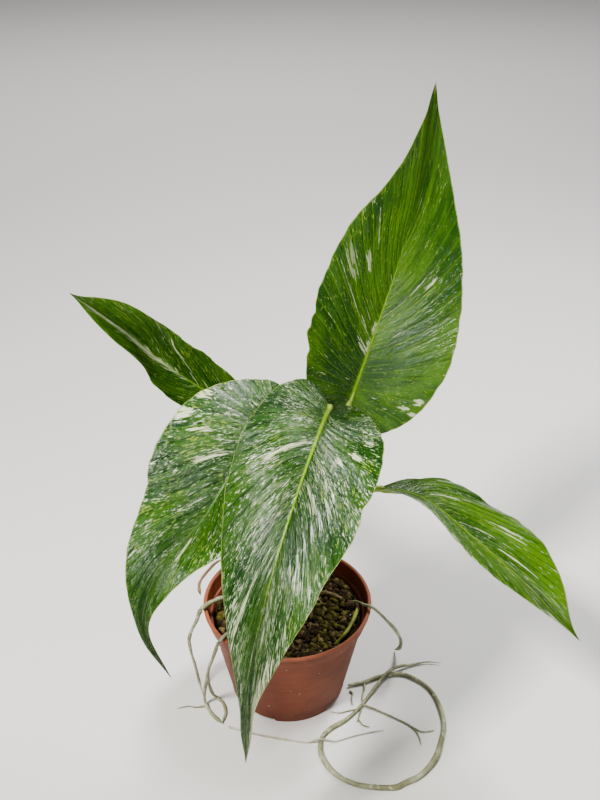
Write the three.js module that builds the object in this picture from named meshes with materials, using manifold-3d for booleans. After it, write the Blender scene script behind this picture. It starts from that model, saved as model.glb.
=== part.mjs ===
// Potted variegated peace lily: a plastic nursery pot, potting mix, a crown, five leaves on stalks
// and the aerial roots that trail over the rim and along the surface the pot stands on.
// Millimetres, +Z up, origin at the middle of the pot's underside.
import * as THREE from "three";
import { ParametricGeometry } from "three/addons/geometries/ParametricGeometry.js";
import { mergeVertices } from "three/addons/utils/BufferGeometryUtils.js";
import Module from "manifold-3d";

const wasm = await Module();
wasm.setup();

// Pot
const POT_HEIGHT = 80;
const RIM_RADIUS = 60;
const BASE_RADIUS = 42;
const WALL = 1.4;
const COLLAR_HEIGHT = 12;
const COLLAR_STEP = 2;
const FOOT_HEIGHT = 9;
const FOOT_INSET = 1.2;
const DRAIN_HOLES = 4;
const DRAIN_TURN = 60;
const DRAIN_WIDTH = 26;
const DRAIN_HEIGHT = 2.5;
const POT_SEGMENTS = 48;

// Potting mix and crown
const GAP = 0.3;
const SOIL_LEVEL = 69;
const SOIL_LUMP = 1.2;
const CROWN_RADIUS = 9;
const CROWN_BOTTOM = 58;
const CROWN_TOP = 84;

// Leaves
const BLADE_THICKNESS = 0.8;
const RIB_DEPTH = 1.6;
const BLADE_ROWS = 22;
const BLADE_COLUMNS = 16;
const STALK_RADIUS = 2.1;
const TUBE_SIDES = 8;

// Blade outlines as [distance along, half width], both as shares, for a rounded and a wedge base.
const ROUNDED_OUTLINE = [
  [0, 0], [-0.055, 0.28], [-0.045, 0.58], [0.06, 0.86], [0.24, 1], [0.43, 0.93],
  [0.62, 0.68], [0.8, 0.36], [0.95, 0.13], [0.98, 0.06], [1, 0],
];
const WEDGE_OUTLINE = [
  [0, 0], [0.01, 0.14], [0.07, 0.36], [0.2, 0.68], [0.38, 0.96], [0.55, 0.98],
  [0.71, 0.76], [0.85, 0.43], [0.95, 0.16], [0.98, 0.06], [1, 0],
];

// Each leaf: the points that its midrib passes through, the way its upper side faces, its half
// width, and [left, right] angles in degrees of the fold at the midrib and of the curl beyond it.
// roll turns the blade about its midrib from base to tip; tail is the share that is drip tip.
// margins says how full the [left, right] margin is at even steps from base to tip.
const LEAVES = {
  upright_leaf: {
    midrib: [[40.6, 14, 234], [58, 38, 276], [73, 53, 320], [84.5, 62, 366], [89, 60, 428]],
    facing: [-0.1, -0.9, 0.35], halfWidth: 51, length: 206,
    roll: [-20, 6], fold: [21, 17], curl: [-6, -6], tail: 0.05, wedge: 0,
    margins: [[1, 1, 0.94, 0.95, 0.97, 1.1, 0.95, 0.72, 1],
      [1, 1, 1.02, 1.05, 0.99, 1.03, 1.08, 1, 0.95]],
    stalk: [[4.5, 4.5, 85], [14, 4, 130], [27, 4, 182], [36, 7, 220], [39.9, 13, 232.2]],
  },
  far_left_leaf: {
    midrib: [[-19, 10, 226], [-53, 33, 232], [-84, 43, 251], [-108, 39, 277], [-137, 36, 303]],
    facing: [-0.2, -0.45, 0.9], halfWidth: 35, length: 154,
    roll: [8, 4], fold: [36, 60], curl: [27, 21], tail: 0.04, wedge: 0.5,
    margins: [[1, 1, 1, 0.95, 0.95, 1.1, 1.6, 1.5, 1], [1, 1.1, 1.15, 1.16, 1.07, 1.15, 1.8, 1.6, 1]],
    stalk: [[-3.5, 5, 85], [-6, 9, 130], [-8, 9, 185], [-9, 6, 212], [-17.6, 9.2, 225.4]],
  },
  front_left_leaf: {
    midrib: [[2, -9, 238], [-24, -41, 232], [-47, -70, 207], [-70, -99, 192], [-80, -115, 163],
      [-68, -111, 116]],
    facing: [-0.35, -0.45, 0.8], halfWidth: 48, length: 212,
    roll: [6, 2], fold: [28, 30], curl: [-37, -9], tail: 0.19, wedge: 0,
    margins: [[1, 1, 1, 1, 1, 0.95, 1, 0.95, 1], [1, 0.97, 0.94, 1, 1.02, 1, 1.11, 0.95, 1]],
    stalk: [[-5.5, -2.5, 85], [-5, 2, 130], [0, 5, 185], [5, 9, 226], [3.2, -7.4, 238]],
  },
  front_leaf: {
    midrib: [[27, -17, 251], [15, -67, 249], [1, -101, 222], [-12, -134, 188], [-20, -151, 143],
      [-22, -157, 97]],
    facing: [-0.1, -0.6, 0.8], halfWidth: 43, length: 243,
    roll: [33, -16], fold: [-4, 0], curl: [53, -43], tail: 0.15, wedge: 0,
    margins: [[1, 1, 1, 0.96, 0.96, 1, 1.05, 1.05, 1.1], [1, 1.03, 1.03, 1, 1, 1, 1.01, 1, 1.1]],
    stalk: [[0.5, -6, 85], [8, -3, 130], [17, 0, 185], [24, 0, 228], [27.2, -14, 248.2]],
  },
  right_leaf: {
    midrib: [[62, -6, 181], [90, -15, 179], [123, -29, 157], [153, -51, 139], [184, -82, 119]],
    facing: [0, -0.25, 1], halfWidth: 43, length: 165,
    roll: [28, -2], fold: [12, 24], curl: [-34, -2], tail: 0.04, wedge: 1.1,
    margins: [[1, 1, 0.97, 1, 1.12, 1.18, 1.2, 1.15, 1], [1, 1.08, 1, 0.84, 0.72, 0.64, 0.6, 0.62, 0.9]],
    stalk: [[7, -2, 85], [14, -6, 120], [28, -9, 155], [45, -7, 177], [60.6, -5.8, 180.8]],
  },
};

// Roots, each a list of tubes [radius, route]; the first is the root and the rest are its branches.
const ROOTS = {
  left_rim_root: [
    [1.4, [[-39, 12, 66], [-46, 5, 76], [-51, -3, 81], [-56, -10, 83.7], [-61, -14, 81.5],
      [-64, -15, 73], [-69, -14, 60], [-71, -11, 49], [-70, -11, 37], [-68, -11, 25], [-66, -12, 12],
      [-63, -17, 1.8]]],
  ],
  left_trailing_root: [
    [1.1, [[-30, -20, 66], [-33, -25, 74], [-38, -34, 81], [-42.5, -41, 83.6], [-46.5, -45, 80],
      [-48.5, -44, 73], [-51.5, -42, 62], [-54.5, -38, 50], [-56.5, -34, 38], [-58.5, -30, 26],
      [-60.5, -27, 12], [-60, -27, 3], [-56, -34, 1.4], [-50, -41, 1.4], [-46, -44, 1.4]]],
    [0.7, [[-58, -30, 1.8], [-62, -28.5, 1.3], [-67, -29, 0.9], [-73, -28, 0.8], [-81, -30, 0.8]]],
    [0.9, [[-56.5, -33.5, 36], [-56, -28, 21], [-54.5, -24, 9], [-51, -22.5, 3], [-47, -26, 1.4],
      [-45, -34, 1.2], [-46.5, -43, 1.3]]],
  ],
  pale_table_root: [
    [0.7, [[-42, -47, 0.8], [-34, -50, 0.8], [-24, -53, 0.8], [-10, -56.5, 0.8], [5, -59.5, 0.8],
      [14, -61, 1.2], [24, -61, 4.6], [34, -60, 1.2], [46, -55.5, 0.8], [58, -52, 0.8], [69, -50, 0.8]]],
  ],
  right_arching_root: [
    [1.1, [[45, 7, 66], [47, 5, 72], [50, 1, 76], [54.5, -7, 80.5], [58.5, -12, 83.5], [63.5, -15, 81.5],
      [71, -15, 72], [77, -10, 60], [82, 1, 42], [85, 12, 26], [85.5, 20, 12], [83, 28, 1.5]]],
  ],
  inner_rim_root: [
    [1.2, [[49.5, 0, 66], [50.5, -3, 73], [49, -9, 75], [46, -18, 75], [42, -26, 74], [38, -31, 72.5],
      [33, -34, 68], [29, -34, 64]]],
  ],
  loop_root: [
    [1.5, [[45, -9, 2], [51, -7, 1.7], [58, -5, 1.6], [69, 0, 1.6], [85, 3, 1.6], [97, -3, 1.6],
      [106, -13, 1.6], [111, -28, 1.6], [112, -46, 1.6], [108, -61, 1.6], [102, -76, 1.6],
      [91, -89, 1.6], [80, -95, 1.6], [71, -99, 1.6], [49, -97, 1.6], [33, -88, 1.6],
      [24, -73, 1.6], [24, -59, 1.6], [30, -50, 1.6], [41, -42, 1.6], [50, -33, 1.6],
      [60, -19, 2.2], [68, -8, 4.2], [75, 1, 5.2], [84, 8, 4], [94, 12, 1.8], [106, 15, 1.6],
      [117, 14, 1.6]]],
    [0.7, [[55, -27, 1.5], [66, -32, 0.8], [78, -39, 0.8], [88, -46, 0.8], [93, -54, 0.8],
      [94, -63, 0.8]]],
    [0.6, [[88, -46, 0.8], [96, -51, 0.7], [105, -50, 0.7]]],
    [0.7, [[57, -5, 1.5], [57, -11, 1], [55, -19, 0.8], [55, -26, 1.2], [52, -36, 0.8],
      [50, -43, 0.8]]],
    [0.6, [[51, -40, 0.8], [54, -45, 0.7], [59, -47, 0.7]]],
    [0.6, [[52, -31, 1.4], [45, -32, 0.7], [38, -34, 0.7], [31, -33, 0.7]]],
  ],
  foot_rootlet: [
    [0.7, [[46, -13.5, 1.2], [48, -16, 0.8], [47, -21, 0.8], [47.5, -27, 0.8]]],
  ],
  dry_rim_root: [
    [0.9, [[-13, 6, 66], [-16, 8, 78], [-25, 14, 90], [-37, 21, 95], [-49, 27, 92.5], [-57, 22, 88.5],
      [-63, 14, 84.5], [-64, 10, 81], [-63, 7, 77]]],
  ],
};

const TWIG = {
  radius: 1.4, route: [[23, 18.5, 68], [28, 15, 71.8], [34, 11.3, 72.8], [39.5, 7.5, 72.6]],
};

const COLOURS = {
  pot: 0x7a3520, soil: 0x3a2f1c, crown: 0x7f8f45, blade: 0x2c6414, stalk: 0x86a03c,
  root: 0x8f8f72, inner: 0x6a7440, dry: 0x6b4a2c,
};

const vector = (p) => new THREE.Vector3(...p);
const spline = (points) => new THREE.CatmullRomCurve3(points.map(vector), false, "catmullrom", 0.5);

// --- Solids ---

function toManifold(geometry) {
  const bare = geometry.clone();
  bare.deleteAttribute("normal");
  bare.deleteAttribute("uv");
  const merged = mergeVertices(bare, 1e-3);
  return new wasm.Manifold(new wasm.Mesh({
    numProp: 3,
    vertProperties: merged.attributes.position.array,
    triVerts: new Uint32Array(merged.index.array),
  }));
}

function toGeometry(solid) {
  const { numProp, vertProperties, triVerts } = solid.getMesh();
  const geometry = new THREE.BufferGeometry();
  const positions = new THREE.InterleavedBuffer(vertProperties, numProp);
  geometry.setAttribute("position", new THREE.InterleavedBufferAttribute(positions, 3, 0));
  geometry.setIndex(new THREE.BufferAttribute(triVerts, 1));
  const flat = geometry.toNonIndexed();
  flat.computeVertexNormals();
  return flat;
}

function named(name, geometry, colour, roughness) {
  const material = new THREE.MeshStandardMaterial({ color: colour, roughness, metalness: 0 });
  const mesh = new THREE.Mesh(geometry, material);
  mesh.name = name;
  return mesh;
}

function turned(profile, segments) {
  const points = profile.map(([r, z]) => new THREE.Vector2(r, z));
  return new THREE.LatheGeometry(points, segments).rotateX(Math.PI / 2);
}

function tube(route, radius, extra = 0) {
  const path = spline(route);
  const section = new THREE.Shape().absarc(0, 0, radius + extra, 0, 2 * Math.PI);
  const steps = Math.min(60, Math.max(6, Math.round(path.getLength() / (7 * radius))));
  return new THREE.ExtrudeGeometry(section, {
    steps, extrudePath: path, bevelEnabled: false, curveSegments: TUBE_SIDES / 2,
  });
}

function root(tubes, extra = 0) {
  const [first, ...branches] = tubes.map(([radius, route]) => toManifold(tube(route, radius, extra)));
  return branches.reduce((joined, branch) => joined.add(branch), first);
}

// --- Pot ---

const COLLAR_BOTTOM = POT_HEIGHT - COLLAR_HEIGHT;
const WALL_TOP_RADIUS = RIM_RADIUS - 5;
const wallRadius = (z) => {
  const share = (z - FOOT_HEIGHT) / (COLLAR_BOTTOM - FOOT_HEIGHT);
  return BASE_RADIUS + FOOT_INSET + (WALL_TOP_RADIUS - BASE_RADIUS - FOOT_INSET) * share;
};

function potProfile() {
  const outside = [
    [0, 0], [BASE_RADIUS - 1, 0], [BASE_RADIUS, 1], [BASE_RADIUS + 0.3, FOOT_HEIGHT - 1],
    [wallRadius(FOOT_HEIGHT), FOOT_HEIGHT], [WALL_TOP_RADIUS, COLLAR_BOTTOM],
    [WALL_TOP_RADIUS + COLLAR_STEP, COLLAR_BOTTOM + 0.6], [RIM_RADIUS - 1.4, POT_HEIGHT - 3],
    [RIM_RADIUS - 0.2, POT_HEIGHT - 2.2], [RIM_RADIUS, POT_HEIGHT - 1], [RIM_RADIUS - 0.6, POT_HEIGHT],
  ];
  const inside = [
    [RIM_RADIUS - 2.2, POT_HEIGHT], [RIM_RADIUS - 2.8, POT_HEIGHT - 1],
    [WALL_TOP_RADIUS + COLLAR_STEP - WALL, COLLAR_BOTTOM + 2],
    [WALL_TOP_RADIUS - WALL, COLLAR_BOTTOM + 0.6],
    [wallRadius(FOOT_HEIGHT) - WALL, FOOT_HEIGHT + 1], [BASE_RADIUS - WALL, FOOT_HEIGHT - 2],
    [BASE_RADIUS - WALL, WALL], [0, WALL],
  ];
  return [...outside, ...inside];
}

function makePot() {
  let pot = toManifold(turned(potProfile(), POT_SEGMENTS));
  for (let i = 0; i < DRAIN_HOLES; i++) {
    const hole = new THREE.BoxGeometry(10, DRAIN_WIDTH, 2 * DRAIN_HEIGHT);
    hole.translate(BASE_RADIUS, 0, 0);
    hole.rotateZ(THREE.MathUtils.degToRad(DRAIN_TURN + (i * 360) / DRAIN_HOLES));
    pot = pot.subtract(toManifold(hole));
  }
  return named("pot", toGeometry(pot), COLOURS.pot, 0.7);
}

// --- Crown and potting mix ---

function crownProfile(extra) {
  const r = CROWN_RADIUS + extra;
  return [
    [0, CROWN_BOTTOM - extra], [r * 0.6, CROWN_BOTTOM - extra], [r, CROWN_BOTTOM + 8], [r, SOIL_LEVEL + 4],
    [r * 0.98, CROWN_TOP - 3], [r * 0.8, CROWN_TOP + extra], [0, CROWN_TOP + extra],
  ];
}

const crownSolid = (extra) => toManifold(turned(crownProfile(extra), 16));

function soilProfile() {
  const side = wallRadius(SOIL_LEVEL - 2) - WALL - 3 * GAP;
  const rings = [0.94, 0.82, 0.7, 0.58, 0.46, 0.34, 0.24];
  return [
    [0, WALL + GAP], [BASE_RADIUS - WALL - 2 * GAP, WALL + GAP],
    [BASE_RADIUS - WALL - 2 * GAP, FOOT_HEIGHT - 2.5],
    [wallRadius(FOOT_HEIGHT) - WALL - 3 * GAP, FOOT_HEIGHT + 2], [side, SOIL_LEVEL - 2.5],
    ...rings.map((share) => [side * share, SOIL_LEVEL]), [0, SOIL_LEVEL],
  ];
}

// Uneven crumbs on the surface of the mix.
const lump = (x, y) => SOIL_LUMP * (Math.sin(0.31 * x + 0.17 * y) + Math.sin(0.43 * y - 0.23 * x + 1));

function makeSoil() {
  const geometry = turned(soilProfile(), 36);
  const at = geometry.attributes.position;
  for (let i = 0; i < at.count; i++) {
    if (at.getZ(i) > SOIL_LEVEL - 0.1) at.setZ(i, SOIL_LEVEL + lump(at.getX(i), at.getY(i)));
  }
  let soil = toManifold(geometry).subtract(crownSolid(GAP));
  for (const tubes of Object.values(ROOTS)) soil = soil.subtract(root(tubes, GAP));
  soil = soil.subtract(toManifold(tube(TWIG.route, TWIG.radius, GAP)));
  return named("potting_mix", toGeometry(soil), COLOURS.soil, 0.95);
}

// --- Leaves ---

function outline(leaf, share, half) {
  const body = 1 - leaf.tail;
  const points = ROUNDED_OUTLINE.map(([a, w], i) => {
    const [along, width] = WEDGE_OUTLINE[i];
    return [THREE.MathUtils.lerp(a, along, leaf.wedge), THREE.MathUtils.lerp(w, width, leaf.wedge), 0];
  });
  const neck = points.length - 2;
  for (let i = 3; i < neck; i++) points[i][0] *= body;
  points[neck][0] = (1 + points[neck - 1][0]) / 2;
  const at = spline(points).getPoint(share);
  const margin = leaf.margins[half].map((full, i, all) => [i / (all.length - 1), full, 0]);
  return { along: at.x, width: Math.max(0, at.y) * spline(margin).getPoint(share).y };
}

// A point of the blade. share runs from base to tip along one side vein's root, across from -1 at
// the left margin to 1 at the right one, and lift is the distance above the middle surface.
function bladePoint(leaf, share, across, lift) {
  const side = across < 0 ? -1 : 1;
  const half = across < 0 ? 0 : 1;
  const reach = Math.abs(across);
  const edge = outline(leaf, share, half);
  const veinRoot = share ** 1.9;
  const along = veinRoot + (edge.along - veinRoot) * reach ** 1.4;
  const out = edge.width * reach * leaf.halfWidth;

  const midrib = spline(leaf.midrib);
  const clamped = THREE.MathUtils.clamp(along, 0, 1);
  const heading = midrib.getTangent(clamped);
  const sideways = heading.clone().cross(vector(leaf.facing).normalize()).normalize();
  const roll = THREE.MathUtils.degToRad(THREE.MathUtils.lerp(leaf.roll[0], leaf.roll[1], clamped));
  sideways.applyAxisAngle(heading, -roll);
  const up = sideways.clone().cross(heading);

  const angle = THREE.MathUtils.degToRad(leaf.fold[half] + (leaf.curl[half] * out) / leaf.halfWidth / 2);
  const slope = reach > 0 ? angle : 0;
  return midrib.getPoint(clamped)
    .addScaledVector(heading, (along - clamped) * leaf.length)
    .addScaledVector(sideways, side * (out * Math.cos(angle) - lift * Math.sin(slope)))
    .addScaledVector(up, out * Math.sin(angle) + lift * Math.cos(slope));
}

// The blade as a closed skin: around runs over the upper side and back under the lower one.
function bladeGeometry(leaf) {
  return new ParametricGeometry((around, share, target) => {
    const across = 1 - 4 * Math.abs(around - 0.5);
    const upper = around < 0.5;
    const ends = Math.min(1, share * 20, (1 - share) * 20);
    const rib = across === 0 && !upper ? RIB_DEPTH * (1 - share) : 0;
    const half = Math.abs(across) === 1 ? 0 : ends * (BLADE_THICKNESS / 2 + rib);
    target.copy(bladePoint(leaf, share, across, upper ? half : -half));
  }, BLADE_COLUMNS, BLADE_ROWS);
}

// --- The plant in its pot ---

const lily = new THREE.Group();
lily.add(makePot(), makeSoil());
lily.add(named("crown", toGeometry(crownSolid(0)), COLOURS.crown, 0.6));

for (const [name, leaf] of Object.entries(LEAVES)) {
  lily.add(named(`${name}_stalk`, tube(leaf.stalk, STALK_RADIUS), COLOURS.stalk, 0.5));
  lily.add(named(`${name}_blade`, bladeGeometry(leaf), COLOURS.blade, 0.3));
}

for (const [name, tubes] of Object.entries(ROOTS)) {
  const colour = { inner_rim_root: COLOURS.inner, dry_rim_root: COLOURS.dry }[name] ?? COLOURS.root;
  lily.add(named(name, toGeometry(root(tubes)), colour, 0.75));
}

lily.add(named("twig_stub", tube(TWIG.route, TWIG.radius), COLOURS.dry, 0.9));

export default lily;
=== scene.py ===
import math
import random

import bmesh
import bpy
import numpy as np
from mathutils import Matrix, Vector, noise


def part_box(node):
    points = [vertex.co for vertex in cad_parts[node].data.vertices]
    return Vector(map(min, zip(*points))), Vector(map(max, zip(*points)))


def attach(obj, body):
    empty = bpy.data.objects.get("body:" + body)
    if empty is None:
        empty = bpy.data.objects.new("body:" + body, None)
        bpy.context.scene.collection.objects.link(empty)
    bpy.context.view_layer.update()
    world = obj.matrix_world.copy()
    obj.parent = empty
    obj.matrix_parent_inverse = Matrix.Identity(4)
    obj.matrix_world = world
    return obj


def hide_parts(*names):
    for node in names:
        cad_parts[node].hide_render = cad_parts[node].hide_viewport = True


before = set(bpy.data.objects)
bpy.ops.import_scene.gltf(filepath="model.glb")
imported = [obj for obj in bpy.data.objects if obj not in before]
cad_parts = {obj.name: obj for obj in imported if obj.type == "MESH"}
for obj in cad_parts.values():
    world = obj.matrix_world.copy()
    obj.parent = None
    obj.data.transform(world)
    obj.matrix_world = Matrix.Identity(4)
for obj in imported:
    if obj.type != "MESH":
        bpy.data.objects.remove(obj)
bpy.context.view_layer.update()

MM = 0.001
TURN = 2 * math.pi

# --- Sizes, in metres, read from the frame where a CAD node gives them ---

POT_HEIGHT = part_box("pot")[1].z
RIM_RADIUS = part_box("pot")[1].x
BASE_RADIUS = 42 * MM
WALL = 1.4 * MM
WALL_TOP_RADIUS = RIM_RADIUS - 5 * MM
INSIDE_RADIUS = WALL_TOP_RADIUS - WALL
COLLAR_HEIGHT = 12 * MM
FOOT_HEIGHT = 9 * MM
DRAIN_SLOTS = 4
DRAIN_SLOT = (10 * MM, 26 * MM, 5 * MM)
FIRST_SLOT_ANGLE = 60
SOIL_LEVEL = 69 * MM
SOIL_BLOCK_DEPTH = 44 * MM
CROWN_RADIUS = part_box("crown")[1].x
CROWN_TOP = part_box("crown")[1].z
CROWN_BOTTOM = 60 * MM

# Blade grids: rows from base to tip, and columns from the midrib to one margin, which crowd towards
# both. The skin is half the thickness of a blade, in millimetres.
BLADE_ROWS = 300
HALF_COLUMNS = 36
CROWDING = 0.11
BLADE_SKIN = 0.22

# Side veins on each half of a blade. They slant towards the tip and bend less near the margin.
SIDE_VEINS = 33
VEIN_SLANT = 0.16
VEIN_BEND = 0.35

# Blade outlines as (distance along, half width), both as shares, for a rounded and a wedge base.
ROUNDED_OUTLINE = [
    (0, 0), (-0.055, 0.28), (-0.045, 0.58), (0.06, 0.86), (0.24, 1), (0.43, 0.93),
    (0.62, 0.68), (0.8, 0.36), (0.95, 0.13), (0.98, 0.06), (1, 0),
]
WEDGE_OUTLINE = [
    (0, 0), (0.01, 0.14), (0.07, 0.36), (0.2, 0.68), (0.38, 0.96), (0.55, 0.98),
    (0.71, 0.76), (0.85, 0.43), (0.95, 0.16), (0.98, 0.06), (1, 0),
]

# Each leaf: its midrib and stalk in millimetres, the way the upper side faces, and its half width and
# length. Then angles in degrees: the roll at the base and at the tip, and the fold and the curl of the
# left and the right half. tail draws the tip out and wedge narrows the base. Then how full each margin
# is from base to tip, dents in the margins as (half, share, depth, spread), the height and number of
# the waves at the margin, and the height of the pleats between the side veins.
# Its colours: the deep and the bright green, the furrows of the side veins (a paler vein colour where it is
# lighter than the green, painted shade where it is darker), the sides of the midrib and a painted highlight
# along its middle, and the share where that fades, and the tip. Then how dense and how white its flecks are,
# how strong its grey-green mist and streaks are, and cream marks as (vein, across, width, reach, strength).
LEAVES = {
    "upright_leaf": dict(
        midrib=[(40.6, 14, 234), (58, 38, 276), (73, 53, 320), (84.5, 62, 366), (89, 60, 428)],
        stalk=[(4.5, 4.5, 85), (14, 4, 130), (27, 4, 182), (36, 7, 220), (39.9, 13, 232.2)],
        facing=(-0.1, -0.9, 0.35), half_width=51, length=206,
        roll=(-20, 6), fold=(21, 17), curl=(-6, -6), tail=0.05, wedge=0,
        margins=[(1, 1, 0.94, 0.95, 0.97, 1.1, 0.95, 0.72, 1),
                 (1, 1, 1.02, 1.05, 0.99, 1.03, 1.08, 1, 0.95)],
        dents=[(0, 0.41, -0.03, 0.012), (0, 0.365, 0.04, 0.01), (0, 0.335, -0.03, 0.01),
               (1, 0.2, -0.03, 0.03), (0, 0.7, 0.06, 0.03), (0, 0.83, -0.06, 0.04)],
        waves=1.2, wave_count=4.3, pleats=0.6,
        deep=(0.013, 0.062, 0.002), bright=(0.066, 0.165, 0.004), furrow_colour_and_shade=(0.075, 0.17, 0.006),
        rib=((0.13, 0.27, 0.008), (0.23, 0.37, 0.02)), rib_end=0.8, tip=(0.55, 0.42, 0.2),
        flecks=0.35, white=0.25, mist=0.12, streaks=0.3,
        marks=[(0.388, -0.11, 0.012, 0.12, 1), (0.405, -0.03, 0.03, 0.035, 1),
               (0.475, -0.03, 0.035, 0.04, 0.9), (0.188, 0.8, 0.01, 0.06, 0.8),
               (0.211, 0.9, 0.011, 0.06, 0.9), (0.18, 0.95, 0.009, 0.04, 0.8),
               (0.52, 0.33, 0.0028, 0.34, 0.6), (0.495, 0.62, 0.006, 0.1, 0.7),
               (0.436, -0.45, 0.003, 0.42, 0.5), (0.47, -0.75, 0.02, 0.14, 0.35),
               (0.53, -0.54, 0.008, 0.1, 0.7), (0.567, -0.7, 0.0035, 0.18, 0.6)],
    ),
    "far_left_leaf": dict(
        midrib=[(-19, 10, 226), (-53, 33, 232), (-84, 43, 251), (-108, 39, 277), (-137, 36, 303)],
        stalk=[(-3.5, 5, 85), (-6, 9, 130), (-8, 9, 185), (-9, 6, 212), (-17.6, 9.2, 225.4)],
        facing=(-0.2, -0.45, 0.9), half_width=35, length=154,
        roll=(8, 4), fold=(36, 60), curl=(27, 21), tail=0.04, wedge=0.5,
        margins=[(1, 1, 1, 0.95, 0.95, 1.1, 1.6, 1.5, 1),
                 (1, 1.1, 1.15, 1.16, 1.07, 1.15, 1.8, 1.6, 1)],
        dents=[],
        waves=0.6, wave_count=3.2, pleats=0.6,
        deep=(0.015, 0.072, 0.002), bright=(0.07, 0.175, 0.006), furrow_colour_and_shade=(0.07, 0.16, 0.01),
        rib=((0.12, 0.26, 0.01), (0.24, 0.38, 0.04)), rib_end=0.9, tip=(0.16, 0.08, 0.03),
        flecks=0.6, white=0.4, mist=0.2, streaks=0.6,
        marks=[(0.66, -0.06, 0.08, 0.1, 1), (0.74, -0.14, 0.1, 0.2, 1), (0.82, -0.3, 0.09, 0.36, 1),
               (0.92, -0.3, 0.09, 0.45, 1), (0.496, 0.57, 0.007, 0.3, 0.9)],
    ),
    "front_left_leaf": dict(
        midrib=[(2, -9, 238), (-24, -41, 232), (-47, -70, 207), (-70, -99, 192), (-80, -115, 163),
                (-68, -111, 116)],
        stalk=[(-5.5, -2.5, 85), (-5, 2, 130), (0, 5, 185), (5, 9, 226), (3.2, -7.4, 238)],
        facing=(-0.35, -0.45, 0.8), half_width=48, length=212,
        roll=(6, 2), fold=(28, 30), curl=(-37, -9), tail=0.19, wedge=0,
        margins=[(1, 1, 1, 1, 1, 0.95, 1, 0.95, 1),
                 (1, 0.97, 0.94, 1, 1.02, 1, 1.11, 0.95, 1)],
        dents=[(0, 0.52, -0.04, 0.02)],
        waves=1.0, wave_count=3.7, pleats=0.95,
        deep=(0.009, 0.05, 0.002), bright=(0.038, 0.115, 0.004), furrow_colour_and_shade=(0.004, 0.026, 0.002),
        rib=((0.08, 0.17, 0.04), (0.18, 0.29, 0.1)), rib_end=0.8, tip=(0.1, 0.16, 0.02),
        flecks=0.9, white=0.6, mist=0.6, streaks=0.3,
        marks=[(0.27, 0.96, 0.014, 0.07, 1), (0.31, 0.93, 0.014, 0.09, 1), (0.347, 0.62, 0.008, 0.12, 1),
               (0.423, 0.35, 0.008, 0.24, 0.9), (0.64, -0.32, 0.014, 0.18, 0.8)],
    ),
    "front_leaf": dict(
        midrib=[(27, -17, 251), (15, -67, 249), (1, -101, 222), (-12, -134, 188), (-20, -151, 143),
                (-22, -157, 97)],
        stalk=[(0.5, -6, 85), (8, -3, 130), (17, 0, 185), (24, 0, 228), (27.2, -14, 248.2)],
        facing=(-0.1, -0.6, 0.8), half_width=43, length=243,
        roll=(33, -16), fold=(-4, 0), curl=(53, -43), tail=0.15, wedge=0,
        margins=[(1, 1, 1, 0.96, 0.96, 1, 1.05, 1.05, 1.1),
                 (1, 1.03, 1.03, 1, 1, 1, 1.01, 1, 1.1)],
        dents=[(0, 0.46, -0.05, 0.015), (0, 0.58, -0.04, 0.02), (0, 0.27, 0.03, 0.02),
               (1, 0.7, 0.03, 0.02), (0, 0.93, 0.4, 0.05), (1, 0.93, 0.4, 0.05)],
        waves=1.2, wave_count=4.1, pleats=1.05,
        deep=(0.009, 0.05, 0.003), bright=(0.036, 0.108, 0.005), furrow_colour_and_shade=(0.004, 0.026, 0.002),
        rib=((0.17, 0.34, 0.01), (0.32, 0.48, 0.04)), rib_end=0.82, tip=(0.05, 0.12, 0.01),
        flecks=1.2, white=0.7, mist=0.85, streaks=0.4,
        marks=[(0.376, 0.36, 0.014, 0.33, 1), (0.344, -0.4, 0.012, 0.07, 0.9),
               (0.292, -0.62, 0.01, 0.09, 1), (0.225, -0.78, 0.012, 0.07, 0.9),
               (0.488, -0.26, 0.012, 0.14, 1), (0.61, 0.66, 0.01, 0.34, 0.9), (0.76, -1.0, 0.16, 0.3, 1)],
    ),
    "right_leaf": dict(
        midrib=[(62, -6, 181), (90, -15, 179), (123, -29, 157), (153, -51, 139), (184, -82, 119)],
        stalk=[(7, -2, 85), (14, -6, 120), (28, -9, 155), (45, -7, 177), (60.6, -5.8, 180.8)],
        facing=(0, -0.25, 1), half_width=43, length=165,
        roll=(28, -2), fold=(12, 24), curl=(-34, -2), tail=0.04, wedge=1.1,
        margins=[(1, 1, 0.97, 1, 1.12, 1.18, 1.2, 1.15, 1),
                 (1, 1.08, 1, 0.84, 0.72, 0.64, 0.6, 0.62, 0.9)],
        dents=[(0, 0.29, -0.12, 0.03), (0, 0.2, 0.05, 0.03), (0, 0.37, 0.05, 0.03)],
        waves=1.0, wave_count=4.8, pleats=0.85,
        deep=(0.016, 0.07, 0.002), bright=(0.078, 0.18, 0.006), furrow_colour_and_shade=(0.008, 0.04, 0.002),
        rib=((0.14, 0.28, 0.01), (0.25, 0.38, 0.04)), rib_end=1.15, tip=(0.2, 0.1, 0.04),
        flecks=0.8, white=0.5, mist=0.35, streaks=0.9,
        marks=[(0.255, 0.8, 0.034, 0.14, 1), (0.28, 0.99, 0.16, 0.05, 0.8), (0.78, 0.98, 0.13, 0.1, 1),
               (0.26, -0.3, 0.006, 0.16, 1), (0.46, -0.3, 0.005, 0.17, 1), (0.61, -0.25, 0.0035, 0.2, 1),
               (0.53, -0.66, 0.006, 0.12, 0.9), (0.672, -0.5, 0.005, 0.2, 0.9)],
    ),
}

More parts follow.
